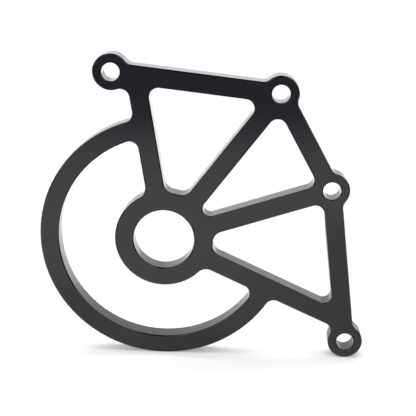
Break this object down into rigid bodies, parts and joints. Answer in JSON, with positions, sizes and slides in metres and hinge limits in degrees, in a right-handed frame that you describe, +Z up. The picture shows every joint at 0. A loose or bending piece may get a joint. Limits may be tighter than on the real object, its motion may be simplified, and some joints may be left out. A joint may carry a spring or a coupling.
{
  "type": "motorcycle sprocket cover",
  "caption": "Flat open-web sprocket cover: a pierced hub and part ring joined by spokes and bars to ears with fixing holes.",
  "frame": {"origin": "centre of the shaft bore, halfway through the plate's thickness", "axes": "+Y along the bore, from the front face to the back face that meets the engine; +Z up and +X right, seen from the front"},
  "size_m": [0.1231, 0.007, 0.1159],
  "materials": {
    "anodised_plate": "black anodised, satin"
  },
  "bodies": {
    "root": {"sprocket_cover": "anodised_plate"}
  },
  "joints": []
}
